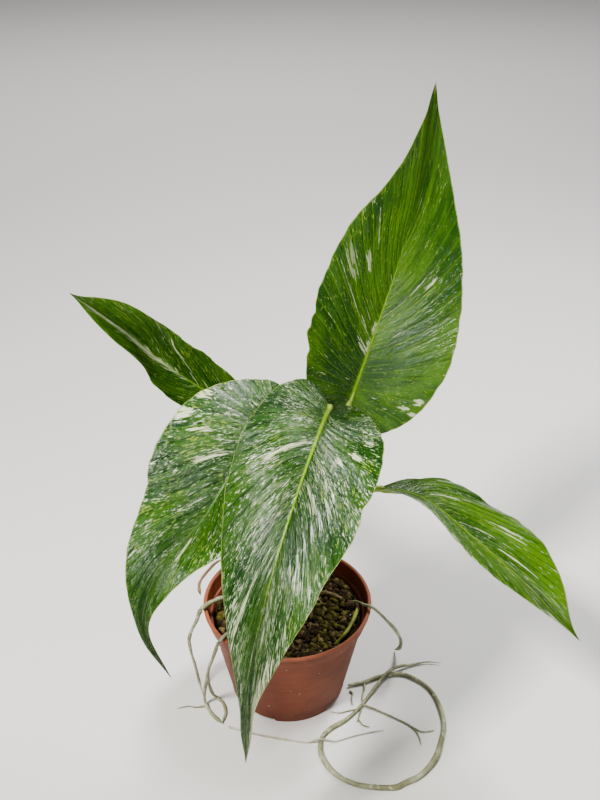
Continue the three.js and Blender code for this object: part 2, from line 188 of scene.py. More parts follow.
# Roots, each a list of (radii evenly along it, route) in millimetres; branches follow the root.
ROOTS = {
    "left_rim_root": [
        ((1.9, 0.8), [(-39, 12, 66), (-46, 5, 76), (-51, -3, 81), (-56, -10, 83.7), (-61, -14, 81.5),
            (-64, -15, 73), (-69, -14, 60), (-71, -11, 49), (-70, -11, 37), (-68, -11, 25),
            (-66, -12, 12), (-63, -17, 1.8)]),
    ],
    "left_trailing_root": [
        ((1.3, 1.1), [(-30, -20, 66), (-33, -25, 74), (-38, -34, 81), (-42.5, -41, 83.6),
            (-46.5, -45, 80), (-48.5, -44, 73), (-51.5, -42, 62), (-54.5, -38, 50), (-56.5, -34, 38),
            (-58.5, -30, 26), (-60.5, -27, 12), (-60, -27, 3), (-56, -34, 1.4), (-50, -41, 1.4),
            (-46, -44, 1.4)]),
        ((0.7, 0.3), [(-58, -30, 1.8), (-62, -28.5, 1.3), (-67, -29, 0.9), (-73, -28, 0.8),
            (-81, -30, 0.8)]),
        ((1.1, 1.0), [(-56.5, -33.5, 36), (-56, -28, 21), (-54.5, -24, 9), (-51, -22.5, 3),
            (-47, -26, 1.4), (-45, -34, 1.2), (-46.5, -43, 1.3)]),
    ],
    "pale_table_root": [
        ((0.8, 0.4), [(-42, -47, 0.8), (-34, -50, 0.8), (-24, -53, 0.8), (-10, -56.5, 0.8),
            (5, -59.5, 0.8), (14, -61, 1.2), (24, -61, 4.6), (34, -60, 1.2), (46, -55.5, 0.8),
            (58, -52, 0.8), (69, -50, 0.8)]),
    ],
    "right_arching_root": [
        ((0.9, 1.4), [(45, 7, 66), (47, 5, 72), (50, 1, 76), (54.5, -7, 80.5), (58.5, -12, 83.5),
            (63.5, -15, 81.5), (71, -15, 72), (77, -10, 60), (82, 1, 42), (85, 12, 26), (85.5, 20, 12),
            (83, 28, 1.5)]),
    ],
    "inner_rim_root": [
        ((1.5, 1.1), [(49.5, 0, 66), (50.5, -3, 73), (49, -9, 75), (46, -18, 75), (42, -26, 74),
            (38, -31, 72.5), (33, -34, 68), (29, -34, 64)]),
    ],
    "loop_root": [
        ((0.9, 1.5, 1.5, 1.8, 2.1, 1.7, 1.5, 1.3, 1.1, 0.6),
         [(45, -9, 2), (51, -7, 1.7), (58, -5, 1.6), (69, 0, 1.6), (85, 3, 1.6), (97, -3, 1.6),
          (106, -13, 1.6), (111, -28, 1.6), (112, -46, 1.6), (108, -61, 1.6), (102, -76, 1.6),
          (91, -89, 1.6), (80, -95, 1.6), (71, -99, 1.6), (49, -97, 1.6), (33, -88, 1.6), (24, -73, 1.6),
          (24, -59, 1.6), (30, -50, 1.6), (41, -42, 1.6), (50, -33, 1.6), (60, -19, 2.2), (68, -8, 4.2),
          (75, 1, 5.2), (84, 8, 4), (94, 12, 1.8), (106, 15, 1.6), (117, 14, 1.6)]),
        ((0.8, 0.4), [(55, -27, 1.5), (66, -32, 0.8), (78, -39, 0.8), (88, -46, 0.8), (93, -54, 0.8),
            (94, -63, 0.8)]),
        ((0.6, 0.3), [(88, -46, 0.8), (96, -51, 0.7), (105, -50, 0.7)]),
        ((0.8, 0.5), [(57, -5, 1.5), (57, -11, 1), (55, -19, 0.8), (55, -26, 1.2), (52, -36, 0.8),
            (50, -43, 0.8)]),
        ((0.6, 0.4), [(51, -40, 0.8), (54, -45, 0.7), (59, -47, 0.7)]),
        ((0.6, 0.3), [(52, -31, 1.4), (45, -32, 0.7), (38, -34, 0.7), (31, -33, 0.7)]),
    ],
    "foot_rootlet": [
        ((0.8, 0.5), [(46, -13.5, 1.2), (48, -16, 0.8), (47, -21, 0.8), (47.5, -27, 0.8)]),
    ],
    "dry_rim_root": [
        ((0.7, 1.2), [(-13, 6, 66), (-16, 8, 78), (-25, 14, 90), (-37, 21, 95), (-49, 27, 92.5),
            (-57, 22, 88.5), (-63, 14, 84.5), (-64, 10, 81), (-63, 7, 77)]),
    ],
}
TWIG_ROUTE = [(23, 18.5, 68), (28, 15, 71.8), (34, 11.3, 72.8), (39.5, 7.5, 72.6)]
KNOT = (46.5, 3.5, 71.5)

# Colours that several finishes share
CREAM = (0.52, 0.54, 0.29)
WHITE_CREAM = (0.62, 0.67, 0.48)
FLECK_LIME = (0.26, 0.38, 0.05)
MIST_GREEN = (0.090, 0.170, 0.068)
EDGE_LIME = (0.34, 0.42, 0.12)

CAMERA_PLACE = (0.009, -0.540, 0.570)
CAMERA_TILT = 31
CAMERA_LENS = 45


# --- Curves and closed forms ---

def spline(points, share):
    """Points on a smooth curve through the given points, at each share from 0 to 1."""
    points = np.asarray(points, float)
    spans = len(points) - 1
    share = np.asarray(share, float) * spans
    i = np.clip(np.floor(share).astype(int), 0, spans - 1)
    t = (share - i)[:, None]
    b, c = points[i], points[i + 1]
    a = np.where((i > 0)[:, None], points[np.maximum(i - 1, 0)], 2 * b - c)
    d = np.where((i < spans - 1)[:, None], points[np.minimum(i + 2, spans)], 2 * c - b)
    return 0.5 * (2 * b + (c - a) * t + (2 * a - 5 * b + 4 * c - d) * t**2 + (3 * b - a - 3 * c + d) * t**3)


def unit(vectors):
    return vectors / np.linalg.norm(vectors, axis=1)[:, None]


def direction(points, share, step):
    """Unit vectors along the spline at each share, measured over a step to either side."""
    return unit(spline(points, np.clip(share + step, 0, 1)) - spline(points, np.clip(share - step, 0, 1)))


def closed_grid(columns, rows):
    """A grid of quads and each vertex's place on it, from 0 to 1 in both directions."""
    bm = bmesh.new()
    bmesh.ops.create_grid(bm, x_segments=columns, y_segments=rows, size=0.5)
    place = np.array([(v.co.x + 0.5, v.co.y + 0.5) for v in bm.verts])
    return bm, place[:, 0], place[:, 1]


def move_verts(bm, points):
    for vert, point in zip(bm.verts, points):
        vert.co = point


def rotation_z(angle):
    return Matrix.Rotation(angle, 3, "Z")


def close_and_face_out(bm, distance=1e-6):
    bmesh.ops.remove_doubles(bm, verts=bm.verts, dist=distance)
    bmesh.ops.recalc_face_normals(bm, faces=bm.faces)


def piece(name, bm, materials, replaces=()):
    """Makes the finished mesh an object that rides with the pot."""
    mesh = bpy.data.meshes.new(name)
    bm.to_mesh(mesh)
    bm.free()
    for material in materials:
        mesh.materials.append(material)
    mesh.shade_smooth()
    made = bpy.data.objects.new(name, mesh)
    bpy.context.scene.collection.objects.link(made)
    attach(made, "root")
    if replaces:
        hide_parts(*replaces)
    return made


# --- Materials ---

class Value:
    """A socket of numbers that can be used in Python expressions."""

    def __init__(self, finish, socket):
        self.finish = finish
        self.socket = socket

    def maths(self, operation, *others):
        return self.finish.maths(operation, self, *others)

    def __add__(self, other):
        return self.maths("ADD", other)

    def __mul__(self, other):
        return self.maths("MULTIPLY", other)

    def __sub__(self, other):
        return self.maths("SUBTRACT", other)

    def __truediv__(self, other):
        return self.maths("DIVIDE", other)

    def __rsub__(self, other):
        return self.finish.maths("SUBTRACT", other, self)

    def __rtruediv__(self, other):
        return self.finish.maths("DIVIDE", other, self)

    __radd__ = __add__
    __rmul__ = __mul__

    def step(self, low, high):
        """0 below low and 1 above high, smooth between them."""
        node = self.finish.add("ShaderNodeMapRange", {"interpolation_type": "SMOOTHSTEP"},
                               {"Value": self, "From Min": low, "From Max": high})
        return Value(self.finish, node.outputs[0])


class Finish:
    """A material under construction."""

    def __init__(self, name, roughness=0.5, **constants):
        self.material = bpy.data.materials.new(name)
        self.material.use_nodes = True
        self.tree = self.material.node_tree
        self.shader = self.tree.nodes["Principled BSDF"]
        self.shader.inputs["Roughness"].default_value = roughness
        for socket, value in constants.items():
            self.shader.inputs[socket.replace("_", " ")].default_value = value

    def add(self, kind, settings=None, values=None):
        """Adds a node, then its settings, then the values or links of its sockets."""
        node = self.tree.nodes.new(kind)
        for key, value in (settings or {}).items():
            if key == "stops":
                self.set_stops(node.color_ramp, value)
            else:
                setattr(node, key, value)
        for key, value in (values or {}).items():
            self.feed(node.inputs[key], value)
        return node

    def set_stops(self, ramp, stops):
        while len(ramp.elements) < len(stops):
            ramp.elements.new(1.0)
        for element, (position, colour) in zip(ramp.elements, stops):
            element.position = position
            element.color = (*colour, 1.0)

    def feed(self, socket, value):
        if isinstance(value, Value):
            value = value.socket
        if isinstance(value, bpy.types.NodeSocket):
            self.tree.links.new(value, socket)
        elif isinstance(value, tuple) and len(value) == 3 and socket.type == "RGBA":
            socket.default_value = (*value, 1.0)
        else:
            socket.default_value = value

    def maths(self, operation, *values):
        node = self.add("ShaderNodeMath", {"operation": operation}, dict(enumerate(values)))
        return Value(self, node.outputs[0])

    def mix(self, factor, a, b):
        """Colour b over colour a."""
        node = self.add("ShaderNodeMix", {"data_type": "RGBA", "clamp_factor": True},
                        {0: factor, 6: a, 7: b})
        return node.outputs[2]

    def where(self):
        """The place on the object, in metres."""
        return self.add("ShaderNodeTexCoord").outputs["Object"]

    def stretched(self, vector, scale):
        return self.add("ShaderNodeMapping", {}, {"Vector": vector, "Scale": scale}).outputs[0]

    def noise(self, vector, scale, detail=2.0, roughness=0.5):
        node = self.add("ShaderNodeTexNoise", {}, {
            "Vector": vector, "Scale": scale, "Detail": detail, "Roughness": roughness})
        return Value(self, node.outputs[0])

    def ramp(self, factor, stops):
        return self.add("ShaderNodeValToRGB", {"stops": stops}, {"Fac": factor}).outputs[0]

    def split(self, vector):
        """The three numbers of a vector."""
        node = self.add("ShaderNodeSeparateXYZ", {}, {0: vector})
        return [Value(self, socket) for socket in node.outputs]

    def attribute(self, name):
        """The three numbers of a piece's own vector attribute."""
        return self.split(self.add("ShaderNodeAttribute", {"attribute_name": name}).outputs["Vector"])

    def join(self, x, y, z):
        return self.add("ShaderNodeCombineXYZ", {}, {0: x, 1: y, 2: z}).outputs[0]

    def done(self, colour, roughness=None, height=None, distance=0.3 * MM, strength=1.0):
        """Feeds the shader; height is a relief, distance how deep it looks."""
        self.feed(self.shader.inputs["Base Color"], colour)
        if roughness is not None:
            self.feed(self.shader.inputs["Roughness"], roughness)
        if height is not None:
            bump = self.add("ShaderNodeBump", {}, {
                "Height": height, "Distance": distance, "Strength": strength})
            self.feed(self.shader.inputs["Normal"], bump.outputs[0])
        return self.material


class BladeFinish(Finish):
    """A finish that knows where it is on a blade: across and along the side veins, in millimetres."""

    def __init__(self, name, leaf, seed, roughness, **constants):
        super().__init__(name, roughness, **constants)
        self.share, self.across, self.rib = self.attribute("blade_place")
        self.seed = seed
        self.reach = self.maths("ABSOLUTE", self.across)
        wander = self.noise(self.join(self.share * 7 + seed, self.across * 3, seed), 1.0, 2.0)
        slant = self.reach * VEIN_SLANT * (1 - self.reach * VEIN_BEND)
        self.vein = self.share - slant + (wander - 0.5) * 0.012
        self.over = self.vein * leaf["length"]
        self.along = self.across * leaf["half_width"]

    def grain(self, wide, long, detail=2.0, roughness=0.5, shift=0.0):
        """Noise drawn out along the side veins, in features of the given size in millimetres."""
        return self.noise(self.join(self.over / wide, self.along / long, self.seed * 3.7 + shift),
                          1.0, detail, roughness)

    def furrow(self):
        """0 along each sunken side vein and 1 between two."""
        return self.maths("ABSOLUTE", self.maths("SINE", self.vein * (math.pi * SIDE_VEINS)))

    def marks(self, leaf, ragged):
        """1 inside the listed marks, whose edges fray along the veins."""
        inside = None
        for at_vein, at_across, width, length, strength in leaf["marks"]:
            off_vein = (self.vein - at_vein) / width
            off_across = (self.across - at_across) / length
            far = self.maths("SQRT", off_vein * off_vein + off_across * off_across)
            frayed = 0.9 - far + (ragged - 0.5) * 5
            mark = frayed.step(0.0, 0.35) * strength
            inside = mark if inside is None else self.maths("MAXIMUM", inside, mark)
        return inside


def leaf_upper_finish(name, leaf, seed):
    """Deep green with cream flecks and streaks along the side veins, glossy, with a lime midrib."""
    f = BladeFinish(name + "_upper", leaf, seed, 0.3, Specular_IOR_Level=0.55, Coat_Weight=0.1,
                    Coat_Roughness=0.1)

    # Green ground, cloudy; along the furrows of the side veins a paler vein colour on leaves where that
    # colour is lighter, and painted shade on leaves where it is darker
    furrow = f.furrow()
    tone = f.grain(7, 20, 4.0, 0.62)
    cloud = f.grain(38, 45, shift=5)
    green = f.mix((tone * 0.55 + cloud * 0.55).step(0.42, 0.68), leaf["deep"], leaf["bright"])
    # Mask of the furrows, which takes the furrow colour: a paler vein line on some leaves, painted shade on
    # the rest
    furrow_colour_and_shade = (0.42 - furrow).step(0.0, 0.4)
    green = f.mix(furrow_colour_and_shade * (0.95 - f.share).step(0.0, 0.5) * 0.75, green, leaf["furrow_colour_and_shade"])

    # Mist, then flecks, dots and streaks, which crowd together in places
    crowd = f.grain(15, 30, shift=9)
    fine = f.grain(0.9, 3.4, 2.0, 0.6, shift=2)
    ragged = f.grain(1.3, 8, 3.0, 0.7, shift=3)
    specks = f.grain(0.8, 2, 1.0, shift=4)
    dense = leaf["flecks"]
    mist = (f.grain(6, 18, 4.0, 0.65, shift=6) + (crowd - 0.5) * 0.7 + (fine - 0.5) * 0.7).step(0.5, 0.62)
    green = f.mix(mist * (0.5 * leaf["mist"]), green, MIST_GREEN)

    flecks = (fine - (0.655 - 0.06 * dense) + (crowd - 0.5) * (0.32 * dense)).step(0.0, 0.05)
    dots = (specks - (0.69 - 0.03 * dense) + (crowd - 0.5) * (0.3 * dense)).step(0.0, 0.05)
    long = f.grain(2.2, 26, 2.0, 0.5, shift=7)
    streaks = (long + (ragged - 0.5) * 0.6 - (0.735 - 0.035 * leaf["streaks"])).step(0.0, 0.05)
    pale = f.maths("MAXIMUM", flecks * 0.8, dots * 0.6)
    whiteness = (f.grain(7, 20, shift=8) - (0.75 - 0.5 * leaf["white"])).step(0.0, 0.12)
    colour = f.mix(pale, green, f.mix(whiteness, FLECK_LIME, WHITE_CREAM))
    marks = f.marks(leaf, ragged)
    cream = f.mix(ragged.step(0.4, 0.62), CREAM, WHITE_CREAM)
    bold = f.maths("MAXIMUM", streaks * 0.75, marks * (0.62 + fine * 0.6))
    colour = f.mix(bold, colour, cream)

    # Midrib with a painted highlight along its middle, pale edge and tip
    rib_half = f.maths("MAXIMUM", 1.9 - f.share * (1.8 / leaf["rib_end"]), 0.14)
    near_rib = (rib_half * 2.2 - f.rib).step(-0.8, 1.0) * (0.9 - f.share).step(0.0, 0.3)
    colour = f.mix(near_rib * 0.4, colour, leaf["bright"])
    on_rib = (rib_half - f.rib).step(-0.2, 0.25) * (leaf["rib_end"] + 0.08 - f.share).step(0.0, 0.25)
    # The midrib's sides take its first colour, and its middle takes the second, a painted highlight along the
    # ridge
    colour = f.mix(on_rib * 0.92, colour, f.mix((rib_half * 0.5 - f.rib).step(-0.2, 0.3), *leaf["rib"]))
    edge = f.reach.step(0.984, 0.996)
    colour = f.mix(edge * 0.7, colour, EDGE_LIME)
    colour = f.mix(f.share.step(0.975, 0.995) * 0.9, colour, leaf["tip"])

    # Relief and gloss
    fibres = f.grain(0.9, 14, 2.0, 0.6, shift=11)
    skin = f.grain(1.7, 3.2, 3.0, 0.65, shift=12)
    height = fibres * 0.6 + skin * 0.8 + pale * 0.16 + bold * 0.12 + f.maths("MINIMUM", furrow, 0.45) * 0.55
    roughness = 0.1 + skin * 0.14 + pale * 0.1 + marks * 0.1
    return f.done(colour, roughness, height, distance=1.5 * MM, strength=0.9)


def leaf_under_finish(name, leaf, seed):
    """Paler and duller, with raised veins and the flecks showing faintly."""
    f = BladeFinish(name + "_under", leaf, seed, 0.5)
    tone = f.grain(9, 35, 4.0, 0.6)
    colour = f.mix(tone.step(0.35, 0.7), (0.085, 0.185, 0.025), (0.165, 0.300, 0.055))
    fine = f.grain(1.6, 7, 2.0, 0.6, shift=2)
    colour = f.mix((fine - 0.58).step(0.0, 0.06) * (0.5 * leaf["flecks"]), colour, (0.42, 0.48, 0.24))
    marks = f.marks(leaf, f.grain(2.6, 10, 3.0, 0.65, shift=3))
    colour = f.mix(marks * 0.6, colour, CREAM)
    raised = (0.3 - f.furrow()).step(0.0, 0.3)
    colour = f.mix(raised * 0.4, colour, (0.30, 0.44, 0.12))
    on_rib = ((2.3 - f.share * 1.8) - f.rib).step(-0.3, 0.3)
    colour = f.mix(on_rib * 0.85, colour, (0.36, 0.48, 0.12))
    colour = f.mix(f.reach.step(0.98, 0.995) * 0.7, colour, (0.50, 0.56, 0.26))
    skin = f.grain(2.4, 6, 3.0, 0.6, shift=12)
    return f.done(colour, 0.42 + skin * 0.2, skin + raised * 0.5, distance=0.25 * MM, strength=0.6)


def stalk_finish():
    """Yellow-green, with fine lengthwise lines and paler, streaked sheaths near the crown."""
    f = Finish("stalk_skin", roughness=0.38)
    along, around, _ = f.attribute("strand_place")
    lines = f.noise(f.join(around * 26, along * 3, 0.0), 1.0, 3.0, 0.6)
    blotch = f.noise(f.join(around * 3, along * 9, 2.0), 1.0, 3.0, 0.6)
    colour = f.mix(lines.step(0.3, 0.7), (0.17, 0.27, 0.035), (0.34, 0.42, 0.08))
    colour = f.mix((blotch - 0.56).step(0.0, 0.1) * 0.5, colour, (0.60, 0.62, 0.34))
    colour = f.mix((0.42 - along).step(0.0, 0.3) * 0.4, colour, (0.44, 0.50, 0.24))
    colour = f.mix((along - 0.93).step(0.0, 0.06) * 0.6, colour, (0.42, 0.40, 0.07))
    return f.done(colour, 0.34 + lines * 0.16, lines, distance=0.2 * MM, strength=0.5)


def crown_finish():
    """Green fibrous sheaths, dry and brown where they leave the mix."""
    f = Finish("crown_sheath", roughness=0.6)
    here = f.where()
    fibres = f.noise(f.stretched(here, (900, 900, 60)), 1.0, 4.0, 0.65)
    patches = f.noise(here, 160.0, 4.0, 0.6)
    height = f.split(here)[2]
    colour = f.mix(fibres.step(0.3, 0.7), (0.15, 0.19, 0.05), (0.33, 0.37, 0.14))
    brown = f.mix(fibres.step(0.3, 0.7), (0.06, 0.032, 0.015), (0.20, 0.12, 0.06))
    dry = (patches * 0.02 + (SOIL_LEVEL + 5 * MM) - height).step(0.0, 0.012)
    colour = f.mix(dry, colour, brown)
    return f.done(colour, 0.5 + fibres * 0.3, fibres, distance=0.5 * MM, strength=0.8)


def root_finish(name, dark, light, pale):
    """Root skin: wrinkled, with pale papery patches."""
    f = Finish(name, roughness=0.6)
    along, around, _ = f.attribute("strand_place")
    here = f.where()
    wrinkles = f.noise(f.join(around * 9, along * 60, 0.0), 1.0, 3.0, 0.6)
    tone = f.noise(here, 70.0, 4.0, 0.6)
    patches = f.noise(here, 240.0, 3.0, 0.6)
    colour = f.mix(tone.step(0.35, 0.68), dark, light)
    colour = f.mix((patches - 0.56).step(0.0, 0.1) * 0.6, colour, pale)
    colour = f.mix((wrinkles - 0.6).step(0.0, 0.12) * 0.35, colour, dark)
    grain = f.noise(here, 1500.0, 3.0, 0.6)
    return f.done(colour, 0.5 + grain * 0.3, wrinkles * 0.6 + grain * 0.4, distance=0.3 * MM, strength=0.7)


def pot_finish():
    """Thin terracotta-coloured plastic: dull, dusty, paler along the top of the rim with scuffs and a painted
    highlight.
    """
    f = Finish("pot_plastic", roughness=0.55)
    here = f.where()
    height = f.split(here)[2]
    cloud = f.noise(here, 28.0, 4.0, 0.6)
    mottle = f.noise(here, 130.0, 4.0, 0.65)
    colour = f.mix(cloud.step(0.3, 0.7), (0.145, 0.031, 0.011), (0.212, 0.051, 0.018))
    colour = f.mix((mottle - 0.5).step(0.0, 0.2) * 0.35, colour, (0.15, 0.034, 0.012))
    rings = f.noise(f.stretched(here, (6, 6, 900)), 1.0, 2.0)
    colour = f.mix((rings - 0.5).step(0.0, 0.2) * 0.15, colour, (0.33, 0.095, 0.038))
    wear = f.noise(here, 420.0, 3.0, 0.7)
    # Paler band along the top of the rim: scuffed wear and a painted highlight
    rim_wear_and_highlight = height.step(POT_HEIGHT - 2.6 * MM, POT_HEIGHT - 0.4 * MM)
    colour = f.mix(rim_wear_and_highlight * (0.25 + wear * 0.45), colour, (0.38, 0.125, 0.066))
    lime = f.noise(f.stretched(here, (1, 1, 0.7)), 520.0, 2.0, 0.5)
    specks = (lime - 0.735).step(0.0, 0.03)
    colour = f.mix(specks * 0.75, colour, (0.66, 0.56, 0.46))
    dust = f.noise(here, 60.0, 5.0, 0.7)
    low = (FOOT_HEIGHT * 1.6 - height).step(0.0, 0.012)
    colour = f.mix(low * (dust - 0.42).step(0.0, 0.25) * 0.6, colour, (0.11, 0.060, 0.032))
    grain = f.noise(here, 2600.0, 2.0)
    relief = grain * 0.3 + rings * 0.35 + wear * 0.25 + specks * 0.4
    return f.done(colour, 0.46 + mottle * 0.2 + specks * 0.1, relief, distance=0.2 * MM, strength=0.5)


def crumb_finish(name, *shades):
    """Crumbs of the potting mix, each with its own shade between four, dark to light."""
    f = Finish(name, roughness=0.95, Specular_IOR_Level=0.2)
    own = f.attribute("crumb_shade")[0]
    here = f.where()
    grain = f.noise(here, 900.0, 4.0, 0.7)
    colour = f.ramp(own * 0.8 + grain * 0.35 - 0.1, list(zip((0.0, 0.35, 0.65, 1.0), shades)))
    return f.done(colour, 0.85 + grain * 0.15, grain, distance=0.8 * MM, strength=0.9)


def soil_bed_finish():
    """The wet peat between the crumbs, with mossy patches."""
    f = Finish("mix_bed", roughness=0.95, Specular_IOR_Level=0.2)
    here = f.where()
    grain = f.noise(here, 700.0, 5.0, 0.7)
    patch = f.noise(here, 90.0, 3.0, 0.6)
    colour = f.mix(grain.step(0.35, 0.7), (0.012, 0.008, 0.004), (0.070, 0.048, 0.022))
    colour = f.mix((patch - 0.5).step(0.0, 0.15) * 0.5, colour, (0.055, 0.060, 0.014))
    return f.done(colour, None, grain, distance=1 * MM, strength=1.0)


def bark_finish(name, dark, light):
    """Fibrous bark, dull, with darker patches."""
    f = Finish(name, roughness=0.85)
    here = f.where()
    fibres = f.noise(f.stretched(here, (500, 1400, 900)), 1.0, 4.0, 0.65)
    patches = f.noise(here, 300.0, 3.0, 0.6)
    colour = f.mix(fibres.step(0.3, 0.7), dark, light)
    colour = f.mix((patches - 0.55).step(0.0, 0.1) * 0.4, colour, dark)
    return f.done(colour, None, fibres, distance=0.6 * MM, strength=0.9)


# --- Leaves ---

def blade_outline(leaf, share, half, seed):
    """Distance along the midrib and half width of the margin, both as shares."""
    outline = [
        (a + (c - a) * leaf["wedge"], b + (d - b) * leaf["wedge"])
        for (a, b), (c, d) in zip(ROUNDED_OUTLINE, WEDGE_OUTLINE)
    ]
    neck = len(outline) - 2
    for i in range(3, neck):
        outline[i] = (outline[i][0] * (1 - leaf["tail"]), outline[i][1])
    outline[neck] = ((1 + outline[neck - 1][0]) / 2, outline[neck][1])
    margin = spline(outline, share)
    left, right = (spline([(w,) for w in side], share)[:, 0] for side in leaf["margins"])
    full = np.where(half == 1, right, left)
    for side, at, depth, spread in leaf["dents"]:
        full += np.where(half == side, depth, 0) * np.exp(-(((share - at) / spread) ** 2))
    full += 0.007 * np.sin(TURN * (12.7 * share + 0.3 * half + seed)) * np.sin(TURN * (3.1 * share + seed))
    full += 0.004 * np.sin(TURN * (31 * share + 0.7 * half + 2 * seed))
    return margin[:, 0], np.clip(margin[:, 1], 0, None) * full


def blade_points(leaf, share, across, lift, seed):
    """Points of the blade, in metres, and how far each is from the midrib, in millimetres."""
    side = np.where(across < 0, -1.0, 1.0)
    half = (side > 0).astype(int)
    reach = np.abs(across)
    edge_along, edge_width = blade_outline(leaf, share, half, seed)
    vein_root = share**1.9
    along = vein_root + (edge_along - vein_root) * reach**1.4
    out = edge_width * reach * leaf["half_width"]

    inside = np.clip(along, 0, 1)
    heading = direction(leaf["midrib"], inside, 1e-3)
    facing = unit(np.array([leaf["facing"]], float))
    sideways = unit(np.cross(heading, facing))
    up = np.cross(sideways, heading)
    roll = np.radians(leaf["roll"][0] + (leaf["roll"][1] - leaf["roll"][0]) * inside)[:, None]
    sideways, up = sideways * np.cos(roll) + up * np.sin(roll), up * np.cos(roll) - sideways * np.sin(roll)

    fold = np.array(leaf["fold"], float)[half]
    curl = np.array(leaf["curl"], float)[half]
    angle = np.radians(fold + curl * out / leaf["half_width"] / 2)
    slope = np.where(reach > 0, angle, 0) * np.clip(out / 1.5, 0, 1)

    ends = np.clip(share * 6, 0, 1) * np.clip((1 - share) * 2.2, 0, 1)
    lift = lift + ends * (margin_waves(leaf, share, out, half, seed) + pleats(leaf, share, reach, half, seed))

    points = spline(leaf["midrib"], inside) + heading * ((along - inside) * leaf["length"])[:, None]
    points += sideways * (side * (out * np.cos(angle) - lift * np.sin(slope)))[:, None]
    points += up * (out * np.sin(angle) + lift * np.cos(slope))[:, None]
    return points * MM, out


def margin_waves(leaf, share, out, half, seed):
    """How far the blade rises and falls towards its margin, in millimetres."""
    phase = 0.37 * half + seed
    wave = np.sin(TURN * (leaf["wave_count"] * share + phase))
    wave += 0.5 * np.sin(TURN * (leaf["wave_count"] * 2.3 * share + phase * 2.1))
    wave += 0.22 * np.sin(TURN * (leaf["wave_count"] * 5.1 * share + phase * 3.3))
    return leaf["waves"] * wave * (out / leaf["half_width"]) ** 2.4


def pleats(leaf, share, reach, half, seed):
    """The quilting between the side veins, which lie in sharp furrows, in millimetres."""
    vein = share - reach * VEIN_SLANT * (1 - reach * VEIN_BEND)
    quilt = np.abs(np.sin(np.pi * SIDE_VEINS * vein)) - 0.6
    uneven = 0.75 + 0.3 * np.sin(19 * vein + 4 * reach + 9 * half + seed) * np.sin(7 * vein + 5 * seed)
    return leaf["pleats"] * quilt * uneven * np.sin(np.pi * np.clip(reach, 0, 1)) ** 0.6


def make_blade(name, leaf, seed):
    """One closed skin: it runs over the upper side from margin to margin and back underneath."""
    bm, around, share = closed_grid(4 * HALF_COLUMNS, BLADE_ROWS)
    even = 1 - 4 * np.abs(around - 0.5)
    reach = np.abs(even) - CROWDING * np.sin(TURN * np.abs(even))
    across = np.sign(even) * reach

    # The skin closes at the margin, base and tip, and swells at the midrib, most of all underneath
    _, out = blade_points(leaf, share, across, np.zeros(len(share)), seed)
    ends = np.clip(share * 30, 0, 1) * np.clip((1 - share) * 12, 0, 1)
    rib_half = 1.8 - 1.5 * share
    ridge = np.exp(-((out / rib_half) ** 2))
    thin = BLADE_SKIN * np.sqrt(np.clip(1 - reach**8, 0, 1))
    above = thin + ridge * (0.75 - 0.5 * share)
    below = thin + ridge * (1.7 - 1.3 * share)
    lift = ends * np.where(around < 0.5, above, -below)
    lift[reach > 0.9999] = 0.0
    points, out = blade_points(leaf, share, across, lift, seed)

    place = bm.verts.layers.float_vector.new("blade_place")
    for vert, s, a, o in zip(bm.verts, share, across, out):
        vert[place] = (s, a, o)
    for face in bm.faces:
        face.material_index = 0 if face.calc_center_median().x < 0.0 else 1
    move_verts(bm, points)
    close_and_face_out(bm)
    finishes = [leaf_upper_finish(name, leaf, seed), leaf_under_finish(name, leaf, seed)]
    piece(name + "_surface", bm, finishes, [name + "_blade"])


# --- Strands: stalks, roots and twigs ---

def strand(route, radius_at, rings, sides=12, seed=0.0, wobble=0.0):
    """A closed tube along a route in millimetres, whose radius is a function of the share along it."""
    bm, around, share = closed_grid(sides, rings)
    cap = 1.5 / rings    # the share that each rounded end takes
    centre_share = np.clip((share - cap) / (1 - 2 * cap), 0, 1)
    centre = spline(route, centre_share)
    heading = direction(route, centre_share, 2e-3)
    level = np.tile([[0.35, 0.2, 0.92]], (len(share), 1))
    level = np.where(np.abs((heading * level).sum(1))[:, None] > 0.93, [[0.9, 0.4, 0.1]], level)
    sideways = unit(np.cross(heading, level))
    up = np.cross(sideways, heading)

    to_start = np.clip(1 - share / cap, 0, 1)
    to_end = np.clip(1 - (1 - share) / cap, 0, 1)
    closing = np.sqrt(np.clip(1 - to_start**2, 0, 1)) * np.sqrt(np.clip(1 - to_end**2, 0, 1))
    radius = radius_at(centre_share) * closing
    angle = around * TURN
    if wobble:
        lumps = [noise.noise(Vector((s * 31 + seed, math.cos(a), math.sin(a)))) for s, a in zip(share, angle)]
        radius = radius * (1 + wobble * np.array(lumps))
    points = centre + sideways * (radius * np.cos(angle))[:, None] + up * (radius * np.sin(angle))[:, None]

    place = bm.verts.layers.float_vector.new("strand_place")
    for vert, s, a in zip(bm.verts, centre_share, around):
        vert[place] = (s, abs(a - 0.5) * 2, seed)
    points[:, 2] = np.maximum(points[:, 2], 0)
    move_verts(bm, points * MM)
    close_and_face_out(bm)
    return bm


def join_into(whole, part):
    """Adds one bmesh to another and frees it."""
    mesh = bpy.data.meshes.new("joining")
    part.to_mesh(mesh)
    part.free()
    whole.from_mesh(mesh)
    bpy.data.meshes.remove(mesh)


def make_stalk(name, leaf, finish):
    """The leaf stalk, a broad sheath at the crown, which runs on under the blade as its midrib."""
    midrib = spline(leaf["midrib"], np.array([0.02, 0.07, 0.13]))
    route = list(leaf["stalk"]) + [tuple(p - np.array([0, 0, 0.9])) for p in midrib]
    route[0] = tuple(np.array(route[0]) - [0, 0, 4])

    knee_at = 0.62

    def radius_at(share):
        sheath = 1.3 * np.exp(-((share / 0.22) ** 2))
        knee = 0.35 * np.exp(-(((share - knee_at) / 0.05) ** 2))
        return (2.05 + sheath + knee) * (1 - np.clip((share - knee_at) / 0.38, 0, 1) * 0.75)

    bm = strand(route, radius_at, rings=90, sides=16, seed=len(name), wobble=0.05)
    piece(name + "_stem", bm, [finish], [name + "_stalk"])


